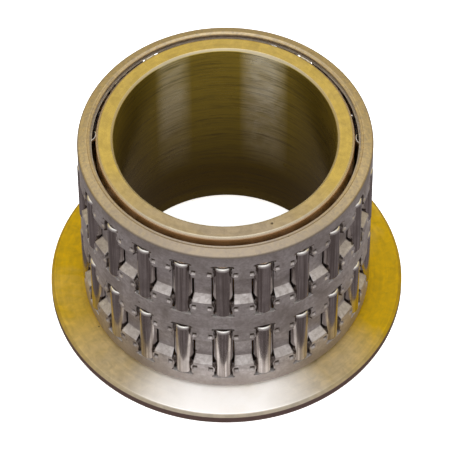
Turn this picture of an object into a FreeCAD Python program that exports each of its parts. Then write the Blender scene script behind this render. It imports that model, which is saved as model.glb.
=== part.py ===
"""Double-row needle roller bearing on a flanged inner ring, in millimetres.

The ring stands on its flange with its axis along +Z, and the origin is the centre of the flange's
outer face. A pressed steel cage with an M-shaped section turns round the ring and carries two rows
of needle rollers. Each piece is written to parts/ as a STEP file of its own.
"""
import FreeCAD, Part
import math
import os

from FreeCAD import Vector

# ---- Driving dimensions ------------------------------------------------------------------------

# Flanged inner ring
SHAFT_BORE_D = 45.0
RACEWAY_D = 52.0
RING_LENGTH = 48.5
FLANGE_D = 73.5
FLANGE_THICKNESS = 3.0
RING_CHAMFER = 0.5
FLANGE_CHAMFER = 0.7
RELIEF_WIDTH = 1.6          # grinding relief between the raceway and the flange
RELIEF_DEPTH = 0.25

# Needle rollers
ROW_NAMES = ("lower", "upper")
ROLLERS_PER_ROW = 22
ROLLER_D = 4.0
ROLLER_LENGTH = 15.8
ROLLER_END_ROUNDING = 0.6
FIRST_ROLLER_ANGLE = -90.0  # degrees from +X, so that a roller faces -Y

# Cage, pressed from sheet
SHEET = 0.9
END_WEB = 3.6               # from the cage's end face to the pockets
MIDDLE_WEB = 4.0            # between the two rows of pockets
BAR_FLAT = 4.4              # length of the bar's outer flat at each end of a pocket
BAR_SLOPE = 1.0             # axial length of the slope between the flat and the sunken middle
BAR_SINK = 1.7              # how far the middle of a bar lies inside its ends
BEND_RADIUS = 0.45          # outside radius of the sharply coined bends in the bars
BEND_INSIDE_RADIUS = 0.15
END_BEND_RADIUS = 0.25      # inside radius of the bend into each end lip
LIP_CREST_WIDTH = 0.1       # flat crest between that bend and the dished part of the lip
LIP_DISH = 0.3              # how far the edge of a lip lies below its crest
LEDGE = 0.2                 # thickness of the ledge that keeps a roller from falling inwards
POCKET_EAR_R = 0.42         # round reliefs in the corners of a pocket
STAKE_PLACE = 2.75          # from the end of a pocket to the middle of a stake mark
STAKE_LENGTH = 1.9
STAKE_WIDTH = 0.8
STAKE_DEPTH = 0.5
STAKE_WALL = 0.2            # between a stake mark and the edge of its pocket
NUB_LENGTH = 1.1            # nub that the stake mark pushes out towards the roller
NUB_THICKNESS = 0.55

# Clearances
RACEWAY_CLEARANCE = 0.05    # between a roller and the raceway, radially
CAGE_FLANGE_CLEARANCE = 0.1
CAGE_TO_RING_END = 0.55     # from the cage's top face up to the ring's end face
CAGE_UNDER_ROLLERS = 0.25   # from the cage's outer wall out to the tops of the rollers
LIP_RACEWAY_CLEARANCE = 1.2 # between an end lip and the raceway, radially
POCKET_SIDE_CLEARANCE = 0.25
RETAINER_CLEARANCE = 0.08   # between a roller and the edges that keep it in its pocket
ROLLER_SEAT_CLEARANCE = 0.1 # under a roller, which stands on the lower end of its pocket

# ---- Sizes worked out from them ----------------------------------------------------------------

ROWS = len(ROW_NAMES)
RACEWAY_R = RACEWAY_D / 2
ROLLER_R = ROLLER_D / 2
PITCH_R = RACEWAY_R + RACEWAY_CLEARANCE + ROLLER_R
CAGE_R = PITCH_R + ROLLER_R - CAGE_UNDER_ROLLERS
CAGE_INNER_R = CAGE_R - SHEET
LIP_R = RACEWAY_R + LIP_RACEWAY_CLEARANCE
CAGE_BOTTOM = FLANGE_THICKNESS + CAGE_FLANGE_CLEARANCE
CAGE_TOP = RING_LENGTH - CAGE_TO_RING_END
ROW_SPACE = CAGE_TOP - CAGE_BOTTOM - 2 * END_WEB - (ROWS - 1) * MIDDLE_WEB
POCKET_LENGTH = ROW_SPACE / ROWS
PITCH_ANGLE = 360.0 / ROLLERS_PER_ROW
SLOPE_ANGLE = math.atan2(BAR_SINK, BAR_SLOPE)
SLOPE_SHIFT = SHEET * math.tan(SLOPE_ANGLE / 2)
BEND_REACH = max(BEND_RADIUS * math.tan(SLOPE_ANGLE / 2), SLOPE_SHIFT + BEND_INSIDE_RADIUS)
CREST_R = CAGE_R - SHEET - END_BEND_RADIUS - LIP_CREST_WIDTH
PAST = 1.0                  # how far a cutter runs past what it cuts


def retainer_half_width(radius):
    """Half the width of a pocket whose edges, at this radius round the axis, just clear a roller."""
    reach = ROLLER_R + RETAINER_CLEARANCE
    along = (radius ** 2 + PITCH_R ** 2 - reach ** 2) / (2 * PITCH_R)
    return math.sqrt(radius ** 2 - along ** 2)


LEDGE_R = CAGE_INNER_R - BAR_SINK + LEDGE
NUB_R = CAGE_R - NUB_THICKNESS
MIDDLE_HALF_WIDTH = ROLLER_R + POCKET_SIDE_CLEARANCE
FLAT_HALF_WIDTH = retainer_half_width(CAGE_INNER_R)
LEDGE_HALF_WIDTH = retainer_half_width(LEDGE_R)
NUB_HALF_WIDTH = retainer_half_width(NUB_R)


def pocket_bottom(row):
    """Height of the lower end of the pockets in a row, counted from the flange."""
    return CAGE_BOTTOM + END_WEB + row * (POCKET_LENGTH + MIDDLE_WEB)


# ---- Helpers -----------------------------------------------------------------------------------

def rounded_path(corners):
    """Edges through (radius, height, rounding) corners in the XZ plane, with arcs at the corners."""
    points = [Vector(r, 0, z) for r, z, rounding in corners]
    edges = []
    start = points[0]
    for before, at, after, corner in zip(points, points[1:], points[2:], corners[1:]):
        rounding = corner[2]
        back = (before - at).normalize()
        ahead = (after - at).normalize()
        half_turn = (math.pi - back.getAngle(ahead)) / 2
        if rounding <= 0 or half_turn < 1e-6:
            edges.append(Part.makeLine(start, at))
            start = at
            continue
        reach = rounding * math.tan(half_turn)
        enter = at + back * reach
        leave = at + ahead * reach
        centre = at + (back + ahead).normalize() * (rounding / math.cos(half_turn))
        middle = centre + (at - centre).normalize() * rounding
        edges.append(Part.makeLine(start, enter))
        edges.append(Part.Arc(enter, middle, leave).toShape())
        start = leave
    edges.append(Part.makeLine(start, points[-1]))
    return edges


def end_of(edge, last):
    """First or last point of an edge."""
    return edge.valueAt(edge.LastParameter if last else edge.FirstParameter)


def revolve(edges):
    """Solid of revolution round Z of the closed outline in the XZ plane."""
    face = Part.Face(Part.Wire(Part.__sortEdges__(edges)))
    return face.revolve(Vector(0, 0, 0), Vector(0, 0, 1), 360)


def turned(shape, angle):
    """Copy of a shape turned round Z by an angle in degrees."""
    copy = shape.copy()
    copy.rotate(Vector(0, 0, 0), Vector(0, 0, 1), angle)
    return copy


def roller_angles():
    """Direction of each roller of a row, in degrees from +X."""
    return [FIRST_ROLLER_ANGLE + i * PITCH_ANGLE for i in range(ROLLERS_PER_ROW)]


# ---- Flanged inner ring ------------------------------------------------------------------------

def flanged_inner_ring():
    """Hardened sleeve with its ground raceway outside, the shaft's bore inside and one flange."""
    bore_r = SHAFT_BORE_D / 2
    flange_r = FLANGE_D / 2
    relief_r = RACEWAY_R - RELIEF_DEPTH
    relief_top = FLANGE_THICKNESS + RELIEF_WIDTH
    outline = [
        (bore_r + RING_CHAMFER, 0, 0),
        (flange_r - FLANGE_CHAMFER, 0, 0),
        (flange_r, FLANGE_CHAMFER, 0),
        (flange_r, FLANGE_THICKNESS - FLANGE_CHAMFER, 0),
        (flange_r - FLANGE_CHAMFER, FLANGE_THICKNESS, 0),
        (relief_r, FLANGE_THICKNESS, RELIEF_DEPTH),
        (relief_r, relief_top - RELIEF_DEPTH, 0),
        (RACEWAY_R, relief_top, 0),
        (RACEWAY_R, RING_LENGTH - RING_CHAMFER, 0),
        (RACEWAY_R - RING_CHAMFER, RING_LENGTH, 0),
        (bore_r + RING_CHAMFER, RING_LENGTH, 0),
        (bore_r, RING_LENGTH - RING_CHAMFER, 0),
        (bore_r, RING_CHAMFER, 0),
        (bore_r + RING_CHAMFER, 0, 0),
    ]
    return revolve(rounded_path(outline))


# ---- Cage --------------------------------------------------------------------------------------

def sheet_line(wall_r, inset, shift, end_rounding, in_rounding, out_rounding):
    """One side of the bent sheet: lip, wall with a sunken middle in each row, and the other lip."""
    low = CAGE_BOTTOM + inset
    high = CAGE_TOP - inset
    line = [(LIP_R, low + LIP_DISH, 0), (CREST_R, low, 0), (wall_r, low, end_rounding)]
    for row in range(ROWS):
        bottom = pocket_bottom(row)
        top = bottom + POCKET_LENGTH
        line += [
            (wall_r, bottom + BAR_FLAT - shift, in_rounding),
            (wall_r - BAR_SINK, bottom + BAR_FLAT + BAR_SLOPE - shift, out_rounding),
            (wall_r - BAR_SINK, top - BAR_FLAT - BAR_SLOPE + shift, out_rounding),
            (wall_r, top - BAR_FLAT + shift, in_rounding),
        ]
    return line + [(wall_r, high, end_rounding), (CREST_R, high, 0), (LIP_R, high - LIP_DISH, 0)]


def cage_blank():
    """The bent sheet all round, before its pockets are punched."""
    outer_end = END_BEND_RADIUS + SHEET
    outside = rounded_path(sheet_line(CAGE_R, 0, 0, outer_end, BEND_RADIUS, BEND_INSIDE_RADIUS))
    inside = rounded_path(
        sheet_line(CAGE_INNER_R, SHEET, SLOPE_SHIFT, END_BEND_RADIUS, BEND_INSIDE_RADIUS, BEND_RADIUS)
    )
    lips = [
        Part.makeLine(end_of(outside[0], False), end_of(inside[0], False)),
        Part.makeLine(end_of(outside[-1], True), end_of(inside[-1], True)),
    ]
    return revolve(outside + inside + lips)


def prism(outline, inner_r, outer_r):
    """Cutter along +X: an outline of (y, z) points, run from one radius to another."""
    points = [Vector(inner_r, y, z) for y, z in outline]
    face = Part.Face(Part.makePolygon(points + points[:1]))
    return face.extrude(Vector(outer_r - inner_r, 0, 0))


def rectangle(half_width, low, high):
    """Outline of a rectangle, the same to both sides of the roller's axis."""
    return [(-half_width, low), (half_width, low), (half_width, high), (-half_width, high)]


def middle_outline(bottom):
    """Wide middle of a pocket, between the sunken parts of the bars, with slanted shoulders."""
    low = bottom + BAR_FLAT - BEND_REACH
    high = bottom + POCKET_LENGTH - BAR_FLAT + BEND_REACH
    shoulder = MIDDLE_HALF_WIDTH - FLAT_HALF_WIDTH
    right = [
        (FLAT_HALF_WIDTH, low - shoulder),
        (MIDDLE_HALF_WIDTH, low),
        (MIDDLE_HALF_WIDTH, high),
        (FLAT_HALF_WIDTH, high + shoulder),
    ]
    return right + [(-y, z) for y, z in reversed(right)]


def stake_heights(bottom):
    """Heights of the middles of the stake marks beside one pocket."""
    return [bottom + STAKE_PLACE, bottom + POCKET_LENGTH - STAKE_PLACE]


def nub_outline(side, height):
    """Nub that a stake mark pushes out of the side of a bar, towards the roller."""
    half = NUB_LENGTH / 2
    slant = FLAT_HALF_WIDTH - NUB_HALF_WIDTH
    outline = [
        (FLAT_HALF_WIDTH + slant, height - half - slant),
        (NUB_HALF_WIDTH, height - half + slant),
        (NUB_HALF_WIDTH, height + half - slant),
        (FLAT_HALF_WIDTH + slant, height + half + slant),
    ]
    return [(side * y, z) for y, z in outline]


def pocket_cutter(bottom):
    """All that is punched out of the sheet for one roller at +X, with its nubs left standing."""
    inner = CAGE_INNER_R - BAR_SINK - PAST
    outer = CAGE_R + PAST
    top = bottom + POCKET_LENGTH
    flat_end = bottom + BAR_FLAT - BEND_REACH
    ends = [
        prism(rectangle(FLAT_HALF_WIDTH, bottom, flat_end), inner, outer),
        prism(rectangle(FLAT_HALF_WIDTH, top + bottom - flat_end, top), inner, outer),
    ]
    middle = prism(rectangle(LEDGE_HALF_WIDTH, flat_end, top + bottom - flat_end), inner, outer)
    wide = prism(middle_outline(bottom), LEDGE_R, outer)
    ears = []
    nubs = []
    for side in (-1, 1):
        for height in (bottom + POCKET_EAR_R, top - POCKET_EAR_R):
            base = Vector(inner, side * FLAT_HALF_WIDTH, height)
            ears.append(Part.makeCylinder(POCKET_EAR_R, outer - inner, base, Vector(1, 0, 0)))
        for height in stake_heights(bottom):
            nubs.append(prism(nub_outline(side, height), NUB_R, outer + PAST))
    return middle.fuse(ends + [wide] + ears).cut(nubs).removeSplitter()


def stake_mark(side, height):
    """V-shaped dent of the staking punch in the outer surface of a bar, beside a pocket at +X."""
    half = STAKE_LENGTH / 2
    edge = FLAT_HALF_WIDTH + STAKE_WALL
    beyond = half * PAST / STAKE_DEPTH
    corners = [
        Vector(CAGE_R - STAKE_DEPTH, side * edge, height),
        Vector(CAGE_R + PAST, side * edge, height - half - beyond),
        Vector(CAGE_R + PAST, side * edge, height + half + beyond),
    ]
    face = Part.Face(Part.makePolygon(corners + corners[:1]))
    return face.extrude(Vector(0, side * STAKE_WIDTH, 0))


def cage():
    """Pressed cage: the bent sheet with the pockets of both rows punched and staked."""
    cutters = []
    for row in range(ROWS):
        bottom = pocket_bottom(row)
        pocket = pocket_cutter(bottom)
        marks = [stake_mark(side, z) for side in (-1, 1) for z in stake_heights(bottom)]
        for angle in roller_angles():
            cutters += [turned(shape, angle) for shape in [pocket] + marks]
    return cage_blank().cut(cutters)


# ---- Needle rollers ----------------------------------------------------------------------------

def roller(row, angle):
    """One needle roller, standing on the lower end of its pocket."""
    bottom = pocket_bottom(row) + ROLLER_SEAT_CLEARANCE
    top = bottom + ROLLER_LENGTH
    edges = rounded_path([
        (0, bottom, 0),
        (ROLLER_R, bottom, ROLLER_END_ROUNDING),
        (ROLLER_R, top, ROLLER_END_ROUNDING),
        (0, top, 0),
    ])
    edges.append(Part.makeLine(Vector(0, 0, top), Vector(0, 0, bottom)))
    solid = revolve(edges)
    solid.translate(Vector(PITCH_R, 0, 0))
    return turned(solid, angle)


# ---- Export ------------------------------------------------------------------------------------

def export(name, shape):
    """Writes one piece to parts/ after testing that it is one valid solid."""
    solids = shape.Solids
    if len(solids) != 1 or not solids[0].isValid():
        raise ValueError(f"{name} is {len(solids)} solids, valid: {shape.isValid()}")
    solids[0].exportStep(f"parts/{name}.step")
    print(f"{name}: {solids[0].Volume:.1f} mm3, {len(solids[0].Faces)} faces")


def main():
    os.makedirs("parts", exist_ok=True)
    export("flanged_inner_ring", flanged_inner_ring())
    export("needle_cage", cage())
    for row, row_name in enumerate(ROW_NAMES):
        for number, angle in enumerate(roller_angles(), start=1):
            export(f"roller_{row_name}_{number:02d}", roller(row, angle))


main()
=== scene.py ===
# %% [markdown]
# # A needle roller bearing on its flanged inner ring
# The bearing has three kinds of piece: one hard steel ring that sits on a shaft, one cage pressed
# from sheet, and needle rollers in two rows. The engineering model gives the place of every piece,
# so this lesson loads it first and reads its sizes from it. Each piece is then made again with
# cleaner edges and a surface that shows how it was cut, pressed or ground.

import math

import bmesh
import bpy
from mathutils import Matrix, Vector


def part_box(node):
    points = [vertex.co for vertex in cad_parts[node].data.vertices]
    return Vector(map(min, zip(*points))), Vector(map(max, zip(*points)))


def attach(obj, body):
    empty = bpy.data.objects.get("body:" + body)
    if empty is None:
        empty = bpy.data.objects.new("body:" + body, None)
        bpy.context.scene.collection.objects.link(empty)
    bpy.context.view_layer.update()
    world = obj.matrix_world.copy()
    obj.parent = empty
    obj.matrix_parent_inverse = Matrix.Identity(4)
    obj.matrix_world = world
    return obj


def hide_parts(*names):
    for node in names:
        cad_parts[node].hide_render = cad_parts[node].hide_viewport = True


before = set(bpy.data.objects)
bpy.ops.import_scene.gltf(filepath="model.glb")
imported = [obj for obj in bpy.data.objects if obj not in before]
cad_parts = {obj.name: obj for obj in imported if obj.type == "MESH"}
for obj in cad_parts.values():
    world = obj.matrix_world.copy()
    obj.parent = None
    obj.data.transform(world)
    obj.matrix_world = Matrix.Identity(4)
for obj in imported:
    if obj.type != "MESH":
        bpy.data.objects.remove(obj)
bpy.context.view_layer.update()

# %% [markdown]
# Blender works in metres here, and a bearing is drawn in millimetres, so one small constant keeps
# the numbers readable. What can be read from the model is read from it. What is left is what only
# a drawing of the cage would say: how thick its sheet is and where its bends and pockets are.

# %% Sizes of the ring
MM = 0.001
ring_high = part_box("flanged_inner_ring")[1]
FLANGE_R = ring_high.x
RING_TOP = ring_high.z
FLANGE_TOP = 3.0 * MM
BORE_R = 22.5 * MM
RACEWAY_R = 26.0 * MM
RELIEF_WIDTH = 1.6 * MM
RELIEF_DEPTH = 0.25 * MM
END_CHAMFER = 0.5 * MM
RIM_CHAMFER = 0.7 * MM
print(f"ring: {2 * FLANGE_R / MM:.1f} mm over the flange, {RING_TOP / MM:.1f} mm long")

# %% Sizes of the rollers and the cage
roller_nodes = [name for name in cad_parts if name.startswith("roller_")]
rows = sorted({name.split("_")[1] for name in roller_nodes})
PITCHES = len(roller_nodes) // len(rows)
PITCH_ANGLE = 2 * math.pi / PITCHES
ROLLER_R = 2.0 * MM
END_ROUNDING = 0.6 * MM
cage_low, cage_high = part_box("needle_cage")
CAGE_R = cage_high.x
CAGE_BOTTOM = cage_low.z
CAGE_TOP = cage_high.z
LIP_R = 27.2 * MM
SHEET = 0.9 * MM
END_WEB = 3.6 * MM
MIDDLE_WEB = 4.0 * MM
POCKET_LENGTH = (CAGE_TOP - CAGE_BOTTOM - 2 * END_WEB - MIDDLE_WEB) / 2
print(f"cage: {len(rows)} rows of {PITCHES} pockets, {POCKET_LENGTH / MM:.2f} mm long")

# %% [markdown]
# ## Finishes
# Nothing on a bearing is one flat colour. The ring is turned and ground, the cage is rolled strip,
# and a film of oil and tarnish lies on both. Every finish is drawn with nodes on the piece's own
# Object coordinates, so it stays on the steel when the piece turns. A few small helpers keep the
# node code readable.

# %% Helpers for node trees
def add_node(tree, kind, inputs=None, **settings):
    """Adds a node; each input is given by name or number, as a value or as a socket to link."""
    node = tree.nodes.new("ShaderNode" + kind)
    for name, value in settings.items():
        setattr(node, name, value)
    for name, value in (inputs or {}).items():
        if isinstance(value, bpy.types.NodeSocket):
            tree.links.new(value, node.inputs[name])
        else:
            node.inputs[name].default_value = value
    return node


def math_node(tree, operation, *values, clamp=False):
    """The result of a Math node."""
    made = add_node(tree, "Math", dict(enumerate(values)), operation=operation, use_clamp=clamp)
    return made.outputs[0]


def times(tree, first, second):
    """One value multiplied by another."""
    return math_node(tree, "MULTIPLY", first, second)


def larger(tree, first, second):
    """The larger of two values."""
    return math_node(tree, "MAXIMUM", first, second)


def weighted_sum(tree, *terms):
    """Adds up (value, weight) pairs."""
    total = 0.0
    for value, weight in terms:
        total = math_node(tree, "ADD", total, times(tree, value, weight))
    return total


def remap(tree, value, low, high, new_low=0.0, new_high=1.0):
    """Moves a value from one range to another and holds it at the ends."""
    return add_node(tree, "MapRange", {"Value": value, "From Min": low, "From Max": high,
                                       "To Min": new_low, "To Max": new_high}).outputs[0]


def blend(tree, factor, first, second):
    """Mixes two colours."""
    return add_node(tree, "Mix", {0: factor, 6: first, 7: second}, data_type="RGBA").outputs[2]


def tint(tree, colour, over, mask, strength):
    """Lays one colour over another where the mask is 1, as strongly as is said."""
    return blend(tree, times(tree, mask, strength), colour, over)


def new_group(name, inputs, outputs):
    """An empty node group with a Vector input, named number inputs and named number outputs."""
    group = bpy.data.node_groups.new(name, "ShaderNodeTree")
    group.interface.new_socket("Vector", in_out="INPUT", socket_type="NodeSocketVector")
    for socket, default in inputs.items():
        made = group.interface.new_socket(socket, in_out="INPUT", socket_type="NodeSocketFloat")
        made.default_value = default
    for socket in outputs:
        group.interface.new_socket(socket, in_out="OUTPUT", socket_type="NodeSocketFloat")
    return group, group.nodes.new("NodeGroupInput").outputs, group.nodes.new("NodeGroupOutput").inputs


def use_group(tree, group, place, **values):
    """Places a group in a material and returns its outputs."""
    made = add_node(tree, "Group", node_tree=group)
    tree.links.new(place, made.inputs["Vector"])
    for name, value in values.items():
        made.inputs[name].default_value = value
    return made.outputs


# %% [markdown]
# Turning and grinding leave lines that run round the axis. A noise stretched along a circle gives
# them: it reads the radius and height finely, and the direction round the axis coarsely. The
# direction goes in as its cosine and sine, so the pattern closes on itself without a seam.

# %% Where a point is, counted round the axis
def round_place(tree, vector):
    """Radius and height in millimetres, and the cosine and sine of the angle round Z."""
    scaled = add_node(tree, "VectorMath", {0: vector, "Scale": 1 / MM}, operation="SCALE").outputs[0]
    place = add_node(tree, "SeparateXYZ", {0: scaled}).outputs
    flat = add_node(tree, "CombineXYZ", {0: place[0], 1: place[1]}).outputs[0]
    radius = add_node(tree, "VectorMath", {0: flat}, operation="LENGTH").outputs["Value"]
    facing = add_node(tree, "VectorMath", {0: flat}, operation="NORMALIZE").outputs[0]
    facing = add_node(tree, "SeparateXYZ", {0: facing}).outputs
    return radius, place[2], facing[0], facing[1]


# %% A group for lines round the axis
turned_lines, given, result = new_group("turned lines", {"Across": 6.0, "Along": 3.0}, ["Height"])
radius, height, cosine, sine = round_place(turned_lines, given["Vector"])
place = add_node(turned_lines, "CombineXYZ", {
    0: times(turned_lines, radius, given["Across"]),
    1: times(turned_lines, height, given["Across"]),
    2: times(turned_lines, cosine, given["Along"]),
}).outputs[0]
noise = add_node(turned_lines, "TexNoise", {
    "Vector": place, "W": times(turned_lines, sine, given["Along"]),
    "Scale": 1.0, "Detail": 3.0, "Roughness": 0.6}, noise_dimensions="4D").outputs[0]
turned_lines.links.new(remap(turned_lines, noise, 0.3, 0.7), result["Height"])
print("group:", turned_lines.name)

# %% [markdown]
# Handling leaves fine scratches. The lines where a stretched noise passes through its middle value
# are long, thin and slightly bent, which is what a scratch looks like, and a second coarse noise
# breaks them into short lengths.

# %% A group for scratches
scratches, given, result = new_group("scratches", {"Scale": 1.0, "Turn": 0.6}, ["Mask"])
turned = add_node(scratches, "VectorRotate", {"Vector": given["Vector"], "Angle": given["Turn"]},
                  rotation_type="Z_AXIS").outputs[0]
stretched = add_node(scratches, "Mapping", {"Vector": turned, "Scale": (100, 1500, 700)}).outputs[0]
lines = add_node(scratches, "TexNoise", {"Vector": stretched, "Scale": given["Scale"],
                                         "Detail": 1.0}).outputs[0]
off_middle = math_node(scratches, "ABSOLUTE", math_node(scratches, "SUBTRACT", lines, 0.5))
breaks = add_node(scratches, "TexNoise", {"Vector": given["Vector"], "Scale": 320.0,
                                          "Detail": 1.0}).outputs[0]
scratches.links.new(times(scratches, remap(scratches, off_middle, 0.0, 0.012, 1.0, 0.0),
                          remap(scratches, breaks, 0.52, 0.6)), result["Mask"])
print("group:", scratches.name)

# %% [markdown]
# Steel that has lain about gets small pits and specks. Voronoi cells each hold one dot at their
# middle, and the random colour of a cell decides whether its dot shows, so they are scattered.

# %% A group for pits and specks
pits, given, result = new_group("pits", {"Scale": 400.0, "Size": 0.14, "Share": 0.2}, ["Mask"])
cells = add_node(pits, "TexVoronoi", {"Vector": given["Vector"], "Scale": given["Scale"]}).outputs
chance = add_node(pits, "SeparateXYZ", {0: cells["Color"]}).outputs
size = times(pits, given["Size"], chance[1])
dot = math_node(pits, "SUBTRACT", size, cells["Distance"])
shown = math_node(pits, "LESS_THAN", chance[0], given["Share"])
pits.links.new(times(pits, remap(pits, dot, 0.0, 0.03), shown), result["Mask"])
print("group:", pits.name)

# %% [markdown]
# Oil and tarnish lie in soft patches. This is a plain noise with some distortion, pushed apart so
# that there are clear and stained places with soft borders.

# %% A group for stains
stains, given, result = new_group("stains", {"Scale": 60.0, "Low": 0.4, "High": 0.65}, ["Mask"])
patches = add_node(stains, "TexNoise", {"Vector": given["Vector"], "Scale": given["Scale"], "Detail": 4.0,
                                        "Roughness": 0.6, "Distortion": 0.6}).outputs[0]
stains.links.new(remap(stains, patches, given["Low"], given["High"]), result["Mask"])
print("group:", stains.name)

# %% [markdown]
# ## The ring's finish
# The flange and the end face are turned, the bore and the raceway are ground. Lines that fine
# stretch every highlight across themselves, which is what gives a turned face its bright fan. The
# shader does that with Anisotropic and a tangent that runs round the axis. The tangent is worked
# out here from the coordinates, because the Tangent node would read Generated.

# %% A tangent round the axis
def round_tangent(tree, place):
    """The direction round Z at each point, turned with the piece."""
    across = add_node(tree, "VectorMath", {0: (0, 0, 1), 1: place}, operation="CROSS_PRODUCT").outputs[0]
    return add_node(tree, "VectorTransform", {0: across}, vector_type="VECTOR",
                    convert_from="OBJECT", convert_to="WORLD").outputs[0]


def new_finish(name, **shader):
    """A material with fixed shader values; returns it, its tree, its shader and the coordinates."""
    material = bpy.data.materials.new(name)
    material.use_nodes = True
    tree = material.node_tree
    bsdf = tree.nodes["Principled BSDF"]
    for key, value in shader.items():
        bsdf.inputs[key.replace("_", " ")].default_value = value
    return material, tree, bsdf, add_node(tree, "TexCoord").outputs["Object"]


def add_relief(tree, bsdf, height, distance):
    """Bumps the surface by a pattern of height 0 to 1."""
    bump = add_node(tree, "Bump", {"Height": height, "Distance": distance})
    tree.links.new(bump.outputs[0], bsdf.inputs["Normal"])


# %% Ring steel
RING_PALE = (0.60, 0.50, 0.365, 1)
RING_PAINTED_HIGHLIGHT = (1.0, 0.97, 0.94, 1)
RING_GOLD = (0.84, 0.63, 0.165, 1)
FLANGE_PALE = (0.86, 0.76, 0.60, 1)
FLANGE_GOLD = (0.90, 0.60, 0.012, 1)
EDGE_PAINTED_HIGHLIGHT = (0.92, 0.84, 0.66, 1)
RIM_PAINTED_SHADE = (0.17, 0.105, 0.095, 1)
GAP_PAINTED_SHADE = (0.30, 0.13, 0.03, 1)
SPECK = (0.09, 0.065, 0.04, 1)
ring_steel, tree, bsdf, place = new_finish("ring steel", Metallic=1.0, Anisotropic=0.8,
                                           Anisotropic_Rotation=0.25)
tree.links.new(round_tangent(tree, place), bsdf.inputs["Tangent"])
radius, height, cosine, sine = round_place(tree, place)
coarse = use_group(tree, turned_lines, place, Across=1.6, Along=1.6)[0]
fine = use_group(tree, turned_lines, place, Across=7.0, Along=9.0)[0]
film = use_group(tree, stains, place, Scale=45.0)[0]
mottle = use_group(tree, stains, place, Scale=520.0, Low=0.35, High=0.7)[0]
scratch = use_group(tree, scratches, place)[0]
pit = use_group(tree, pits, place, Scale=420.0, Size=0.22, Share=0.05)[0]
print("ring finish: patterns placed")

# %% [markdown]
# Each face of the ring gets a mask, which is 1 on that face and 0 elsewhere. Radius and height come
# in millimetres, and so do the limits of the masks. A mask changes over a few tenths of a
# millimetre, so that no finish ends in a hard line.

# %% Masks for the ring's faces
bore_r, raceway_r, flange_r = BORE_R / MM, RACEWAY_R / MM, FLANGE_R / MM
flange_top = FLANGE_TOP / MM
end_start = (RING_TOP - END_CHAMFER) / MM
inner_start = (BORE_R + END_CHAMFER) / MM
outer_start = (RACEWAY_R - END_CHAMFER) / MM
rim_start = (FLANGE_R - RIM_CHAMFER) / MM
on_flange = remap(tree, height, flange_top + 0.2, flange_top)
on_end = remap(tree, height, end_start - 0.1, end_start)
inner_edge = times(tree, on_end, remap(tree, radius, inner_start - 0.1, inner_start + 0.1, 1.0, 0.0))
outer_edge = times(tree, on_end, remap(tree, radius, outer_start - 0.1, outer_start + 0.1))
off_chamfer = remap(tree, radius, rim_start + 0.05, rim_start + 0.25, 1.0, 0.0)
on_chamfer = remap(tree, radius, rim_start, rim_start + 0.1)
on_rim = remap(tree, radius, flange_r - 0.07, flange_r - 0.01)
in_bore = remap(tree, radius, bore_r + 0.05, bore_r + 0.15, 1.0, 0.0)
on_raceway = times(tree, remap(tree, radius, raceway_r - 0.4, raceway_r - 0.02),
                   remap(tree, radius, raceway_r + 0.1, raceway_r + 0.3, 1.0, 0.0))
print("ring finish: masks placed")

# %% [markdown]
# The ring is painted pale in front and gold at its sides and back. This is a painted reflection of warm
# walls, varied by a stain noise. The front of its flange is painted nearly white, as a painted highlight.
# The chamfers of the end face are painted bright, as painted highlights. The flange's chamfer is made a
# little darker, and its rim is painted dark as painted shade.

# %% Colours of the ring's faces
# Painted reflection and highlight: the angle round the axis makes the sides and back gold and the flange's
# front white.
highlight_place = math_node(tree, "ADD", sine, remap(tree, film, 0, 1, 0.04, -0.04))
film_and_painted_reflection = math_node(tree, "ADD", remap(tree, sine, -0.95, -0.35), remap(tree, film, 0, 1, -0.12, 0.2),
                  clamp=True)
gold = blend(tree, on_flange, RING_GOLD, FLANGE_GOLD)
pale = blend(tree, on_flange, RING_PALE, FLANGE_PALE)
colour = blend(tree, film_and_painted_reflection, pale, gold)
# Painted highlight: this masks the front of the flange, which is painted nearly white and made less
# metallic.
painted_highlight = times(tree, times(tree, on_flange, off_chamfer), remap(tree, highlight_place, -0.78, -0.94))
colour = tint(tree, colour, SPECK, coarse, 0.14)
colour = tint(tree, colour, SPECK, mottle, 0.25)
colour = tint(tree, colour, RING_PAINTED_HIGHLIGHT, painted_highlight, remap(tree, film, 0, 1, 0.98, 0.62))
# Painted highlight: the end face's two chamfers are painted pale.
colour = tint(tree, colour, EDGE_PAINTED_HIGHLIGHT, larger(tree, inner_edge, outer_edge), 0.7)
colour = tint(tree, colour, SPECK, on_chamfer, 0.22)
# Painted shade: the flange's outer rim is painted dark brown.
colour = tint(tree, colour, RIM_PAINTED_SHADE, on_rim, 0.95)
colour = tint(tree, colour, SPECK, pit, 0.8)
print("ring finish: faces coloured")

# %% [markdown]
# The bore is olive. It is painted darker towards the flange, deep down the hole, and away from its back,
# as painted shade. Two stripes along the shaft's way are painted pale as painted highlights, and the shaft
# has rubbed fine lines round it.
# Each stripe is given by its angle, its half width in degrees and its strength, and each fade by
# two heights in millimetres.

# %% Colours of the bore
BORE_OLIVE = (0.86, 0.66, 0.10, 1)
BORE_PAINTED_SHADE = (0.17, 0.115, 0.02, 1)
BORE_PAINTED_HIGHLIGHT = (1.0, 0.93, 0.76, 1)
BORE_HIGHLIGHT_STRIPES = [(120, 11, 0.6), (70, 14, 0.9)]
HIGHLIGHT_STRIPE_FADE = (12.0, 36.0)
BORE_SHADE_FADE = (10.0, 48.0)
facing = add_node(tree, "CombineXYZ", {0: cosine, 1: sine}).outputs[0]
stripes = 0.0
for angle, half_width, strength in BORE_HIGHLIGHT_STRIPES:
    along = (math.cos(math.radians(angle)), math.sin(math.radians(angle)), 0)
    ahead = add_node(tree, "VectorMath", {0: facing, 1: along}, operation="DOT_PRODUCT").outputs["Value"]
    stripe = remap(tree, ahead, math.cos(math.radians(half_width)), math.cos(math.radians(half_width / 3)),
                   0.0, strength)
    stripes = larger(tree, stripes, stripe)
highlight_breakup = use_group(tree, stains, place, Scale=110.0, Low=0.45, High=0.62)[0]
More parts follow.
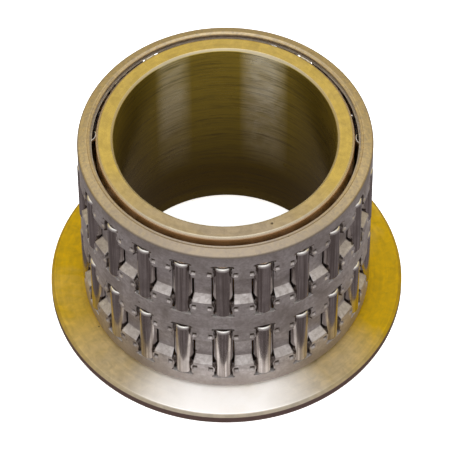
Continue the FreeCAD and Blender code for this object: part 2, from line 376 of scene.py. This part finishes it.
stripes = times(tree, stripes, remap(tree, height, *HIGHLIGHT_STRIPE_FADE))
stripes = times(tree, stripes, remap(tree, highlight_breakup, 0, 1, 1.0, 0.6))
stripes = times(tree, stripes, remap(tree, fine, 0, 1, 1.0, 0.55))
# Painted shade: darker low in the bore and away from its back.
bore = blend(tree, remap(tree, height, *BORE_SHADE_FADE), BORE_PAINTED_SHADE, BORE_OLIVE)
bore = tint(tree, bore, BORE_PAINTED_SHADE, remap(tree, sine, 0.55, 0.9, 1.0, 0.0), 0.5)
# Painted highlights: the two stripes are laid on pale and made less metallic.
bore = blend(tree, stripes, bore, BORE_PAINTED_HIGHLIGHT)
rubbed_round = times(tree, fine, remap(tree, coarse, 0.2, 0.9))
bore = tint(tree, bore, SPECK, remap(tree, rubbed_round, 0.1, 0.8), 0.6)
colour = blend(tree, in_bore, colour, bore)
print("ring finish:", len(BORE_HIGHLIGHT_STRIPES), "stripes in the bore")

# %% [markdown]
# The raceway is seen only down the narrow gap under the cage. It is painted brown there as shade in the
# gap, and is only half metallic so that daylight shows that brown. The flange's painted highlight and the
# bore's painted stripes are made less metallic too, which whitens them.

# %% Finish of the ring
LINE_DEPTH = 0.01 * MM
LEAST_ROUGH = 0.24
# Painted shade: the raceway in the gap is painted brown.
colour = tint(tree, colour, GAP_PAINTED_SHADE, on_raceway, 0.9)
tree.links.new(colour, bsdf.inputs["Base Color"])
dull = times(tree, on_raceway, 0.5)
for mask, dullness in [(painted_highlight, 0.68), (on_flange, 0.12), (times(tree, stripes, in_bore), 0.4)]:
    dull = larger(tree, dull, times(tree, mask, dullness))
tree.links.new(math_node(tree, "SUBTRACT", 1.0, dull), bsdf.inputs["Metallic"])
rough = weighted_sum(tree, (fine, 0.10), (film, 0.05), (inner_edge, 0.2), (on_flange, 0.18),
                     (on_end, -0.12), (pit, 0.3))
tree.links.new(math_node(tree, "ADD", rough, LEAST_ROUGH), bsdf.inputs["Roughness"])
relief = weighted_sum(tree, (coarse, 0.7), (fine, 0.4), (mottle, 0.5), (scratch, -0.8), (pit, -4.0))
add_relief(tree, bsdf, relief, LINE_DEPTH)
print("finish:", ring_steel.name)

# %% [markdown]
# ## The cage's finish
# The cage is cold-rolled strip. It is duller and greyer than the ring and faintly brown where oil has
# dried. It is painted browner near its two ends, as shade near the flange and under its top rim. Its rim
# is tan, and is painted gold at its sides and back as a reflection, like the ring. Its faces that look up,
# with its bent and broken edges, are painted bright as highlights. The sheared walls of its pockets are
# painted nearly black as shade between roller and cage. So the same finish is made three times, as lit and
# shaded copies: for the sheet, its edges and its sheared walls. The modifiers that make those faces hand
# the second and third to them. An attribute of the mesh sets the depth of each stake mark and marks its
# bottom, which is painted dark as shade in the dent. The fades are pairs of heights in millimetres.

# %% Cage steel
CAGE_GREY = (0.86, 0.82, 0.82, 1)
CAGE_BROWN = (0.36, 0.31, 0.285, 1)
CAGE_PAINTED_HIGHLIGHT = (0.92, 0.89, 0.87, 1)
CAGE_SHEARED_SHADE = (0.11, 0.085, 0.07, 1)
RIM_TAN = (0.475, 0.39, 0.275, 1)
RIM_GOLD = (0.88, 0.72, 0.42, 1)
RIM_FADE = (CAGE_TOP / MM - 1.1, CAGE_TOP / MM - 0.8)
FLANGE_SIDE_SHADE_FADE = (10.0, 5.0)
UNDER_LIP_SHADE_FADE = (44.0, 46.8)
GRAIN_DEPTH = 0.013 * MM


def cage_finish(name, clean, roughest, painted_highlight=0.0):
    """Rolled strip of a clean colour; its upward faces are painted bright, and the last value makes them
    less metallic, which whitens them too, as a painted highlight.
    """
    material, tree, bsdf, place = new_finish(name, Metallic=1.0, Anisotropic=0.3,
                                             Anisotropic_Rotation=0.25)
    tree.links.new(round_tangent(tree, place), bsdf.inputs["Tangent"])
    _, height, _, sine = round_place(tree, place)
    rolled = use_group(tree, turned_lines, place, Across=5.0, Along=9.0)[0]
    film = use_group(tree, stains, place, Scale=160.0, Low=0.42, High=0.7)[0]
    grain = use_group(tree, stains, place, Scale=1300.0, Low=0.3, High=0.7)[0]
    scratch = use_group(tree, scratches, place, Scale=1.3, Turn=1.9)[0]
    pit = use_group(tree, pits, place, Scale=700.0, Size=0.25, Share=0.06)[0]
    marked = add_node(tree, "Attribute", attribute_name="dent_depth_and_shade").outputs["Fac"]
    dent_depth_and_shade = remap(tree, marked, 0.55, 1.0, 0.0, 0.85)
    facing = add_node(tree, "TexCoord").outputs["Normal"]
    upward = add_node(tree, "SeparateXYZ", {0: facing}).outputs[2]
    on_rim = remap(tree, height, *RIM_FADE)
    # Painted reflection: the rim is painted gold at its sides and back and tan in front.
    rim = blend(tree, remap(tree, sine, -0.95, -0.3), RIM_TAN, RIM_GOLD)
    colour = tint(tree, clean, CAGE_BROWN, film, 0.8)
    # Painted shade: browner near the flange and under the top rim.
    colour = tint(tree, colour, CAGE_BROWN, remap(tree, height, *FLANGE_SIDE_SHADE_FADE), 0.8)
    colour = tint(tree, colour, CAGE_BROWN, remap(tree, height, *UNDER_LIP_SHADE_FADE), 0.35)
    # Painted highlight: faces that look up are painted bright.
    colour = tint(tree, colour, CAGE_PAINTED_HIGHLIGHT, remap(tree, upward, 0.8, 0.95), 0.85)
    colour = blend(tree, on_rim, colour, rim)
    colour = tint(tree, colour, CAGE_BROWN, rolled, 0.2)
    colour = tint(tree, colour, CAGE_BROWN, grain, 0.6)
    # Painted shade: the stake marks' bottoms are painted dark; the pits are real.
    colour = blend(tree, larger(tree, dent_depth_and_shade, times(tree, pit, 0.7)), colour, SPECK)
    tree.links.new(colour, bsdf.inputs["Base Color"])
    # Painted highlight: faces that look up are made less metallic, which whitens them.
    tree.links.new(remap(tree, upward, 0.3, 0.7, 1.0, 1.0 - painted_highlight), bsdf.inputs["Metallic"])
    rough = weighted_sum(tree, (grain, 0.12), (film, 0.06), (on_rim, -0.16))
    tree.links.new(math_node(tree, "ADD", rough, roughest - 0.12), bsdf.inputs["Roughness"])
    relief = weighted_sum(tree, (rolled, 0.6), (grain, 0.9), (scratch, -0.8), (pit, -2.0))
    add_relief(tree, bsdf, relief, GRAIN_DEPTH)
    print("finish:", name)
    return material


cage_steels = [
    cage_finish("cage steel", CAGE_GREY, roughest=0.54),
    cage_finish("cage edge steel painted highlight", CAGE_PAINTED_HIGHLIGHT, roughest=0.42, painted_highlight=0.5),
    # Painted shade: the pocket walls between roller and cage are painted nearly black.
    cage_finish("cage sheared steel painted shade", CAGE_SHEARED_SHADE, roughest=0.5, painted_highlight=0.3),
]

# %% [markdown]
# ## The rollers' finish
# The rollers are the hardest and smoothest pieces. They are nearly mirrors, with faint lines along them
# from the centreless grinder's feed and a thin film of oil. The rounded end at the top of each roller is
# painted near white, as a painted highlight.

# %% Roller steel
ROLLER_GREY = (0.68, 0.635, 0.62, 1)
ROLLER_OILY = (0.28, 0.24, 0.225, 1)
ROLLER_END_HIGHLIGHT = (1.0, 0.98, 0.95, 1)
ROLLER_TOPS = sorted({round(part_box(node)[1].z / MM, 2) for node in roller_nodes})
FEED_LINE_DEPTH = 0.004 * MM
roller_steel, tree, bsdf, place = new_finish("roller steel", Metallic=1.0)
streaks = add_node(tree, "Mapping", {"Vector": place, "Scale": (2500, 2500, 40)}).outputs[0]
streak = add_node(tree, "TexNoise", {"Vector": streaks, "Scale": 1.0, "Detail": 2.0}).outputs[0]
film = use_group(tree, stains, place, Scale=220.0)[0]
pit = use_group(tree, pits, place, Scale=900.0, Size=0.25, Share=0.05)[0]
colour = tint(tree, ROLLER_GREY, ROLLER_OILY, film, 0.5)
colour = tint(tree, colour, ROLLER_OILY, remap(tree, streak, 0.40, 0.62), 0.9)
colour = tint(tree, colour, SPECK, pit, 0.6)
height = round_place(tree, place)[1]
# Painted highlight: the rounded end at the top of each roller is painted near white.
for top in ROLLER_TOPS:
    shoulder = top - END_ROUNDING / MM
    end_highlight = times(tree, remap(tree, height, shoulder - 0.15, shoulder),
                    remap(tree, height, top + 0.1, top + 0.2, 1.0, 0.0))
    colour = blend(tree, end_highlight, colour, ROLLER_END_HIGHLIGHT)
tree.links.new(colour, bsdf.inputs["Base Color"])
rough = math_node(tree, "ADD", remap(tree, streak, 0.3, 0.7, 0.10, 0.20), times(tree, film, 0.06))
tree.links.new(rough, bsdf.inputs["Roughness"])
add_relief(tree, bsdf, weighted_sum(tree, (streak, 0.6), (pit, -1.0)), FEED_LINE_DEPTH)
print("finish:", roller_steel.name)

# %% [markdown]
# ## Turned pieces
# The ring is turned and ground, so it is a body of revolution. The quickest way to one is an
# outline in the plane through the axis, with every corner rounded or chamfered there, where it is
# still a flat drawing, and then one full spin. Rounding after the spin would give the same shape
# but needs the right edges picked out of thousands.

# %% An outline with rounded corners
BEND_SEGMENTS = 4
ROUND_STEPS = 264
SEAM_WELD = 0.001 * MM
AXIS = Vector((0, 0, 1))


def rounded_outline(corners, closed):
    """A bmesh wire through (radius, height, setback) corners, each rounded by its setback."""
    bm = bmesh.new()
    verts = [bm.verts.new((r, 0, z)) for r, z, _ in corners]
    for start, end in zip(verts, verts[1:]):
        bm.edges.new((start, end))
    if closed:
        bm.edges.new((verts[-1], verts[0]))
    for vert, (_, _, setback) in zip(verts, corners):
        if setback > 0:
            bmesh.ops.bevel(bm, geom=[vert], affect="VERTICES", offset_type="OFFSET", offset=setback,
                            segments=BEND_SEGMENTS, profile=0.5, material=-1)
    return bm


def spin_round(bm, steps):
    """Spins a wire once round Z, closes it and turns its faces outwards."""
    bmesh.ops.spin(bm, geom=bm.verts[:] + bm.edges[:], cent=(0, 0, 0), axis=AXIS,
                   angle=2 * math.pi, steps=steps, use_merge=True)
    bmesh.ops.remove_doubles(bm, verts=bm.verts[:], dist=SEAM_WELD)
    bmesh.ops.recalc_face_normals(bm, faces=bm.faces[:])


# %% [markdown]
# Every new piece goes through the same last steps: it becomes an object whose place is in its mesh, it
# rides on its body of the engineering model, and it hides the plain solid it stands for. Its normals are
# weighted by area, so that large flat faces stay flat up to their small rounded edges. Edges bent by more
# than `sharpest` degrees stay sharp, which by default none are.

# %% From mesh to finished piece
def finish_piece(name, bm, body, node, materials, modifiers=(), weights=(), sharpest=180):
    """Makes the object, with its modifiers, and ties it to the model."""
    mesh = bpy.data.meshes.new(name)
    bm.to_mesh(mesh)
    bm.free()
    mesh.shade_smooth()
    mesh.set_sharp_from_angle(angle=math.radians(sharpest))
    for material in materials:
        mesh.materials.append(material)
    piece = bpy.data.objects.new(name, mesh)
    bpy.context.scene.collection.objects.link(piece)
    for group in weights:
        piece.vertex_groups.new(name=group)
    for kind, values in modifiers:
        modifier = piece.modifiers.new(kind.title(), kind)
        for key, value in values.items():
            setattr(modifier, key, value)
    weighted = piece.modifiers.new("Weighted normals", "WEIGHTED_NORMAL")
    weighted.keep_sharp = True
    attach(piece, body)
    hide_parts(node)
    return piece


# %% The flanged inner ring
EDGE = 0.12 * MM
relief_r = RACEWAY_R - RELIEF_DEPTH
ring_outline = rounded_outline([
    (BORE_R + END_CHAMFER, 0, EDGE),
    (FLANGE_R - RIM_CHAMFER, 0, EDGE),
    (FLANGE_R, RIM_CHAMFER, EDGE),
    (FLANGE_R, FLANGE_TOP - RIM_CHAMFER, EDGE),
    (FLANGE_R - RIM_CHAMFER, FLANGE_TOP, EDGE),
    (relief_r, FLANGE_TOP, RELIEF_DEPTH),
    (relief_r, FLANGE_TOP + RELIEF_WIDTH - RELIEF_DEPTH, 0),
    (RACEWAY_R, FLANGE_TOP + RELIEF_WIDTH, EDGE),
    (RACEWAY_R, RING_TOP - END_CHAMFER, EDGE),
    (RACEWAY_R - END_CHAMFER, RING_TOP, EDGE),
    (BORE_R + END_CHAMFER, RING_TOP, EDGE),
    (BORE_R, RING_TOP - END_CHAMFER, EDGE),
    (BORE_R, END_CHAMFER, EDGE),
], closed=True)
spin_round(ring_outline, ROUND_STEPS)
ring = finish_piece("flanged_ring", ring_outline, "inner_ring", "flanged_inner_ring",
                    [ring_steel])
print(ring.name, len(ring.data.polygons), "faces")

# %% [markdown]
# ## Needle rollers
# A needle roller is cut from drawn wire, rounded at its ends by tumbling and ground all over. A
# cylinder from the cone operator has just the right edges to bevel for the rounded ends. The ends
# are flat with a faint centre dimple, which an inset and a small push make.

# %% One roller
ROLLER_STEPS = 48
ROUNDING_SEGMENTS = 6
END_FLAT = 0.5 * MM
DIMPLE_SLOPE = 0.3 * MM
DIMPLE_DEPTH = 0.08 * MM


def roller_mesh(low, high):
    """A roller that fills the box of its solid."""
    centre = (low + high) / 2
    bm = bmesh.new()
    bmesh.ops.create_cone(bm, cap_ends=True, segments=ROLLER_STEPS, radius1=ROLLER_R, radius2=ROLLER_R,
                          depth=high.z - low.z, matrix=Matrix.Translation(centre))
    ends = [face for face in bm.faces if abs(face.normal.z) > 0.5]
    rims = {edge for face in ends for edge in face.edges}
    bmesh.ops.bevel(bm, geom=list(rims), affect="EDGES", offset_type="OFFSET", offset=END_ROUNDING,
                    segments=ROUNDING_SEGMENTS, profile=0.5, material=-1)
    ends = [face for face in bm.faces if len(face.verts) == ROLLER_STEPS]
    bmesh.ops.inset_region(bm, faces=ends, thickness=END_FLAT, use_even_offset=True)
    ends = [face for face in bm.faces if len(face.verts) == ROLLER_STEPS]
    bmesh.ops.inset_region(bm, faces=ends, thickness=DIMPLE_SLOPE, depth=-DIMPLE_DEPTH,
                           use_even_offset=True)
    return bm


for node in roller_nodes:
    low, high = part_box(node)
    finish_piece(f"needle_{node}", roller_mesh(low, high), node, node, [roller_steel])
print(len(roller_nodes), "rollers")

# %% [markdown]
# ## The cage
# The real cage starts as a flat strip. A press punches the pockets, bends the strip to its M
# section and rolls it round. Here the section comes first: a wire along the outer surface. The
# bends of the two lips are rounded in it. Those of the bars stay sharp, because the bevel that
# comes last rounds them together with the cut edges. The rim has a shallow groove between its
# inner edge and its crest, and falls from the crest to the wall. Spinning the section by one pitch
# gives the sheet for one pocket of each row.

# %% The section of the sheet
BAR_FLAT = 4.4 * MM
BAR_SLOPE = 1.0 * MM
BAR_SINK = 1.7 * MM
CORNER_R = 0.4 * MM
RIM_DROP = 0.72 * MM
CREST_R = LIP_R + 0.70 * MM
GROOVE_R = LIP_R + 0.36 * MM
GROOVE_DEPTH = 0.32 * MM
LIP_EDGE_R = LIP_R + 0.02 * MM
LIP_EDGE_DEPTH = 0.08 * MM
LIP_EDGE_SETBACK = 0.10 * MM
LIP_REACH = 0.45 * MM
LIP_SETBACK = 0.12 * MM
pocket_bottoms = [CAGE_BOTTOM + END_WEB, CAGE_BOTTOM + END_WEB + POCKET_LENGTH + MIDDLE_WEB]


def lip_corners(height, inwards):
    """The lip from its edge to the round corner: inwards is +1 at the bottom and -1 at the top."""
    return [
        (LIP_R, height + inwards * LIP_REACH, 0),
        (LIP_EDGE_R, height + inwards * LIP_EDGE_DEPTH, LIP_EDGE_SETBACK),
        (GROOVE_R, height + inwards * GROOVE_DEPTH, LIP_SETBACK),
        (CREST_R, height, LIP_SETBACK),
        (CAGE_R, height + inwards * RIM_DROP, CORNER_R),
    ]


def bar_corners(bottom):
    """The bends of the bars beside one row of pockets."""
    top = bottom + POCKET_LENGTH
    sunk = CAGE_R - BAR_SINK
    return [
        (CAGE_R, bottom + BAR_FLAT, 0),
        (sunk, bottom + BAR_FLAT + BAR_SLOPE, 0),
        (sunk, top - BAR_FLAT - BAR_SLOPE, 0),
        (CAGE_R, top - BAR_FLAT, 0),
    ]


section = lip_corners(CAGE_BOTTOM, 1)
for bottom in pocket_bottoms:
    section += bar_corners(bottom)
section += reversed(lip_corners(CAGE_TOP, -1))
sheet = rounded_outline(section, closed=False)
print("section of the sheet:", len(sheet.verts), "points")

# %% [markdown]
# The strip is spun in columns that are all as wide as each other. A later step moves them to where
# they are needed: one at each edge of the pocket and four across each stake mark. Their places are
# counted from 0 on the roller's axis to 1 at the pocket's edge and 2 in the middle of the bar.

# %% Spin one pitch of the sheet
COLUMN_PLACES = [0, 0.5, 1, 1.11, 1.17, 1.49, 1.55, 2]
COLUMNS = 2 * (len(COLUMN_PLACES) - 1)
EDGE_COLUMN = COLUMN_PLACES.index(1)
COLUMN_ANGLE = PITCH_ANGLE / COLUMNS
bmesh.ops.rotate(sheet, verts=sheet.verts[:], cent=(0, 0, 0),
                 matrix=Matrix.Rotation(-math.pi / 2 - PITCH_ANGLE / 2, 3, "Z"))
bmesh.ops.spin(sheet, geom=sheet.verts[:] + sheet.edges[:], cent=(0, 0, 0), axis=AXIS,
               angle=PITCH_ANGLE, steps=COLUMNS, use_merge=False)
print("one pitch:", len(sheet.faces), "faces")

# %% Sizes of a pocket
FLAT_HALF_WIDTH = 1.925 * MM
MIDDLE_HALF_WIDTH = 2.25 * MM
NUB_HALF_WIDTH = 1.76 * MM
EAR_R = 0.42 * MM
STAKE_PLACE = 2.75 * MM
STAKE_HALF_LENGTH = 0.75 * MM
STAKE_DEPTH = 0.5 * MM
NUB_HALF_LENGTH = 0.4 * MM
NUB_SLOPE = 0.2 * MM
NUB_THICKNESS = 0.55 * MM
SHOULDER_END = BAR_FLAT - 0.66 * MM
SHOULDER_START = SHOULDER_END - MIDDLE_HALF_WIDTH + FLAT_HALF_WIDTH


def from_pocket_end(height):
    """Distance from the nearer end of the pocket that this height crosses; less than 0 is a web."""
    return max(min(height - bottom, bottom + POCKET_LENGTH - height) for bottom in pocket_bottoms)


def between(value, steps):
    """Reads a value off straight lines between (place, value) steps."""
    if value <= steps[0][0]:
        return steps[0][1]
    for (start, low), (end, high) in zip(steps, steps[1:]):
        if value <= end:
            return low + (high - low) * (value - start) / (end - start)
    return steps[-1][1]


def pocket_half_width(depth):
    """Half the pocket's width at a distance from its end, with its ears, nubs and wide middle."""
    ear = math.sqrt(max(0, EAR_R ** 2 - (depth - EAR_R) ** 2))
    return ear + between(depth, [
        (STAKE_PLACE - NUB_HALF_LENGTH - NUB_SLOPE, FLAT_HALF_WIDTH),
        (STAKE_PLACE - NUB_HALF_LENGTH, NUB_HALF_WIDTH),
        (STAKE_PLACE + NUB_HALF_LENGTH, NUB_HALF_WIDTH),
        (STAKE_PLACE + NUB_HALF_LENGTH + NUB_SLOPE, FLAT_HALF_WIDTH),
        (SHOULDER_START, FLAT_HALF_WIDTH),
        (SHOULDER_END, MIDDLE_HALF_WIDTH),
    ])


# %% [markdown]
# Punching is three steps. The sheet is cut across at each height where the pocket's outline
# changes, the faces inside the pocket are deleted, and the columns slide to the outline. A stake
# mark is a flat-bottomed dent beside the pocket, which pushes a small nub of steel to the roller.

# %% Punch the pockets
EAR_CUTS = 4
CUT_TOLERANCE = 0.002 * MM
cuts = [EAR_R * (1 - math.cos(math.pi * i / EAR_CUTS)) for i in range(EAR_CUTS + 1)]
cuts += [STAKE_PLACE + side * reach for side in (-1, 1) for reach in
         (NUB_HALF_LENGTH, NUB_HALF_LENGTH + NUB_SLOPE, STAKE_HALF_LENGTH)]
cuts += [STAKE_PLACE, SHOULDER_START, SHOULDER_END]
for bottom in pocket_bottoms:
    for cut in cuts:
        for height in (bottom + cut, bottom + POCKET_LENGTH - cut):
            bmesh.ops.bisect_plane(sheet, geom=sheet.verts[:] + sheet.edges[:] + sheet.faces[:],
                                   dist=CUT_TOLERANCE, plane_co=(0, 0, height), plane_no=AXIS)


def angle_from_roller(place):
    """Angle round the axis, counted from the roller at -Y."""
    return math.atan2(place.x, -place.y)


punched = []
for face in sheet.faces:
    middle = face.calc_center_median()
    if from_pocket_end(middle.z) > 0 and abs(angle_from_roller(middle)) < EDGE_COLUMN * COLUMN_ANGLE:
        punched.append(face)
bmesh.ops.delete(sheet, geom=punched, context="FACES")
print("punched:", len(punched), "faces out,", len(sheet.faces), "left")

# %% Slide the columns to the pocket's outline and press the stake marks
STAKED_COLUMNS = (4, 5)
weight = sheet.verts.layers.deform.verify()
dent_depth_and_shade = sheet.verts.layers.float.new("dent_depth_and_shade")
for vert in sheet.verts:
    radius = math.hypot(vert.co.x, vert.co.y)
    angle = angle_from_roller(vert.co)
    column = round(abs(angle) / COLUMN_ANGLE)
    place = COLUMN_PLACES[column]
    depth = from_pocket_end(vert.co.z)
    edge = math.asin(pocket_half_width(depth) / radius)
    moved = place * edge if place <= 1 else edge + (place - 1) * (PITCH_ANGLE / 2 - edge)
    moved = math.copysign(moved, angle)
    if column in STAKED_COLUMNS:
        # The same attribute sets the dent's depth and marks its bottom for painted shade.
        vert[dent_depth_and_shade] = between(abs(depth - STAKE_PLACE), [(NUB_HALF_LENGTH, 1.0), (STAKE_HALF_LENGTH, 0.0)])
        radius -= STAKE_DEPTH * vert[dent_depth_and_shade]
    vert.co.x = radius * math.sin(moved)
    vert.co.y = -radius * math.cos(moved)
    in_nub = column <= EDGE_COLUMN and abs(depth - STAKE_PLACE) < NUB_HALF_LENGTH + NUB_SLOPE / 2
    vert[weight][0] = 0.0 if in_nub else 1.0

# %% [markdown]
# One pitch turned round the axis gives the whole cage. The sheet gets its thickness from a
# Solidify modifier, which works inwards from the outer surface. A narrow bevel then breaks its
# sheared edges and rounds the bends of its bars. The nubs are thinner than the sheet, so a vertex
# group tells Solidify so.

# %% The whole cage
PITCH_WELD = 0.005 * MM
EDGE_BREAK = 0.17 * MM
SHARPEST_UNBROKEN = 57
SHEARED, BROKEN = 2, 1
bmesh.ops.spin(sheet, geom=sheet.verts[:] + sheet.edges[:] + sheet.faces[:], cent=(0, 0, 0), axis=AXIS,
               angle=PITCH_ANGLE * (PITCHES - 1), steps=PITCHES - 1, use_duplicate=True)
bmesh.ops.remove_doubles(sheet, verts=sheet.verts[:], dist=PITCH_WELD)
bmesh.ops.recalc_face_normals(sheet, faces=sheet.faces[:])
cage = finish_piece("pressed_cage", sheet, "cage", "needle_cage", cage_steels, [
    ("SOLIDIFY", {"thickness": SHEET, "offset": -1, "use_even_offset": True,
                  "vertex_group": "full thickness", "thickness_vertex_group": NUB_THICKNESS / SHEET,
                  "material_offset_rim": SHEARED}),
    ("BEVEL", {"width": EDGE_BREAK, "segments": 1, "limit_method": "ANGLE",
               "angle_limit": math.radians(SHARPEST_UNBROKEN), "material": BROKEN}),
], weights=["full thickness"], sharpest=25)
evaluated = cage.evaluated_get(bpy.context.evaluated_depsgraph_get()).to_mesh()
print("cage:", len(evaluated.polygons), "faces,", len(evaluated.loop_triangles), "triangles")

# %% [markdown]
# ## The studio
# Polished steel shows little of its own: it shows the room. So the room is what makes the picture.
# The floor is pale to the eye, but in the steel it stays dark, as if the bearing stood on a dark
# bench. The Light Path node tells the two kinds of ray apart.

# %% The floor
FLOOR_WHITE = (0.9, 0.9, 0.9, 1)
FLOOR_IN_STEEL = (0.175, 0.15, 0.15, 1)
FLOOR_GLOW = 0.75
FLOOR_REACH = 3
floor_paint = bpy.data.materials.new("studio floor")
floor_paint.use_nodes = True
tree = floor_paint.node_tree
tree.nodes.remove(tree.nodes["Principled BSDF"])
matt = add_node(tree, "BsdfDiffuse", {"Color": FLOOR_WHITE}).outputs[0]
glow = add_node(tree, "Emission", {"Color": (1, 1, 1, 1), "Strength": FLOOR_GLOW}).outputs[0]
seen = add_node(tree, "AddShader", {0: matt, 1: glow}).outputs[0]
mirrored = add_node(tree, "Emission", {"Color": FLOOR_IN_STEEL, "Strength": 1.0}).outputs[0]
is_mirrored = add_node(tree, "LightPath").outputs["Is Glossy Ray"]
both = add_node(tree, "MixShader", {0: is_mirrored, 1: seen, 2: mirrored}).outputs[0]
tree.links.new(both, tree.nodes["Material Output"].inputs["Surface"])
bm = bmesh.new()
bmesh.ops.create_grid(bm, x_segments=1, y_segments=1, size=FLOOR_REACH)
mesh = bpy.data.meshes.new("floor")
bm.to_mesh(mesh)
bm.free()
mesh.materials.append(floor_paint)
floor = bpy.data.objects.new("floor", mesh)
bpy.context.scene.collection.objects.link(floor)
print("floor:", floor.name)

# %% [markdown]
# The walls are what the steel mirrors. Behind the bearing they are warm low down, in front they are grey,
# and both turn white overhead. A ray that is scattered, and not mirrored, meets plain daylight in their
# place, so steel that is made less metallic where highlights are painted looks white. Two soft boxes give
# the highlights.

# %% The room round the bearing
BACK_WALL = [
    (0.0, (0.42, 0.34, 0.18)),
    (0.35, (0.48, 0.39, 0.19)),
    (0.60, (0.62, 0.53, 0.33)),
    (0.76, (0.82, 0.76, 0.66)),
    (1.0, (0.62, 0.605, 0.58)),
]
FRONT_WALL = [
    (0.0, (0.33, 0.31, 0.30)),
    (0.30, (0.42, 0.40, 0.39)),
    (0.60, (0.60, 0.58, 0.57)),
    (0.85, (1.0, 0.985, 0.975)),
    (1.0, (0.62, 0.61, 0.60)),
]
FRONT_STARTS, FRONT_ENDS = 0.05, -0.3
DAYLIGHT = (1.7, 1.7, 1.7, 1)


def wall_tones(tree, upwards, tones):
    """Colours from the horizon, at 0, to straight up, at 1."""
    ramp = add_node(tree, "ValToRGB", {0: upwards})
    stops = ramp.color_ramp.elements
    while len(stops) < len(tones):
        stops.new(1.0)
    for stop, (level, colour) in zip(stops, tones):
        stop.position = level
        stop.color = (*colour, 1)
    return ramp.outputs[0]


world = bpy.data.worlds.new("studio")
bpy.context.scene.world = world
world.use_nodes = True
tree = world.node_tree
direction = add_node(tree, "SeparateXYZ", {0: add_node(tree, "TexCoord").outputs["Generated"]}).outputs
in_front = remap(tree, direction[1], FRONT_STARTS, FRONT_ENDS)
walls = blend(tree, in_front, wall_tones(tree, direction[2], BACK_WALL),
              wall_tones(tree, direction[2], FRONT_WALL))
lit = blend(tree, add_node(tree, "LightPath").outputs["Is Glossy Ray"], DAYLIGHT, walls)
tree.links.new(lit, tree.nodes["Background"].inputs["Color"])
bpy.context.scene.view_settings.view_transform = "Standard"
print("room:", len(BACK_WALL) + len(FRONT_WALL), "tones")

# %% Soft boxes
MIDDLE = Vector((0, 0, 0.025))


def soft_box(name, place, size, power, colour):
    """A square area light that faces the bearing."""
    data = bpy.data.lights.new(name, "AREA")
    data.shape = "SQUARE"
    data.size = size
    data.energy = power
    data.color = colour
    light = bpy.data.objects.new(name, data)
    bpy.context.scene.collection.objects.link(light)
    light.location = place
    light.rotation_euler = (Vector(place) - MIDDLE).to_track_quat("Z", "Y").to_euler()
    print("soft box:", name)


soft_box("overhead box", (0, -0.05, 0.75), size=0.5, power=0.4, colour=(1, 0.98, 0.96))
soft_box("front box", (0, -0.32, 0.68), size=0.22, power=0.05, colour=(1, 0.98, 0.97))

# %% [markdown]
# The camera looks down at the bearing from in front, at a little over fifty degrees, through a long
# lens. It stands on a line through the ring's end face, and looks a little below it.

# %% The camera
AZIMUTH = math.radians(1.5)
ELEVATION = math.radians(51.15)
PITCH = math.radians(52.445)
ROLL = math.radians(-0.519)
DISTANCE = 771 * MM
LENS = 306
SENSOR = 36
AIM_HEIGHT = 47.45 * MM
camera_data = bpy.data.cameras.new("camera")
camera_data.sensor_width = SENSOR
camera_data.lens = LENS
camera = bpy.data.objects.new("camera", camera_data)
bpy.context.scene.collection.objects.link(camera)
aim = Vector((0, 0, AIM_HEIGHT))
offset = Vector((0, -math.cos(ELEVATION), math.sin(ELEVATION))) * DISTANCE
turn = Matrix.Rotation(AZIMUTH, 4, "Z")
camera.matrix_world = (turn @ Matrix.Translation(aim + offset)
                       @ Matrix.Rotation(math.pi / 2 - PITCH, 4, "X") @ Matrix.Rotation(ROLL, 4, "Z"))
bpy.context.scene.camera = camera
print("camera:", LENS, "mm lens")
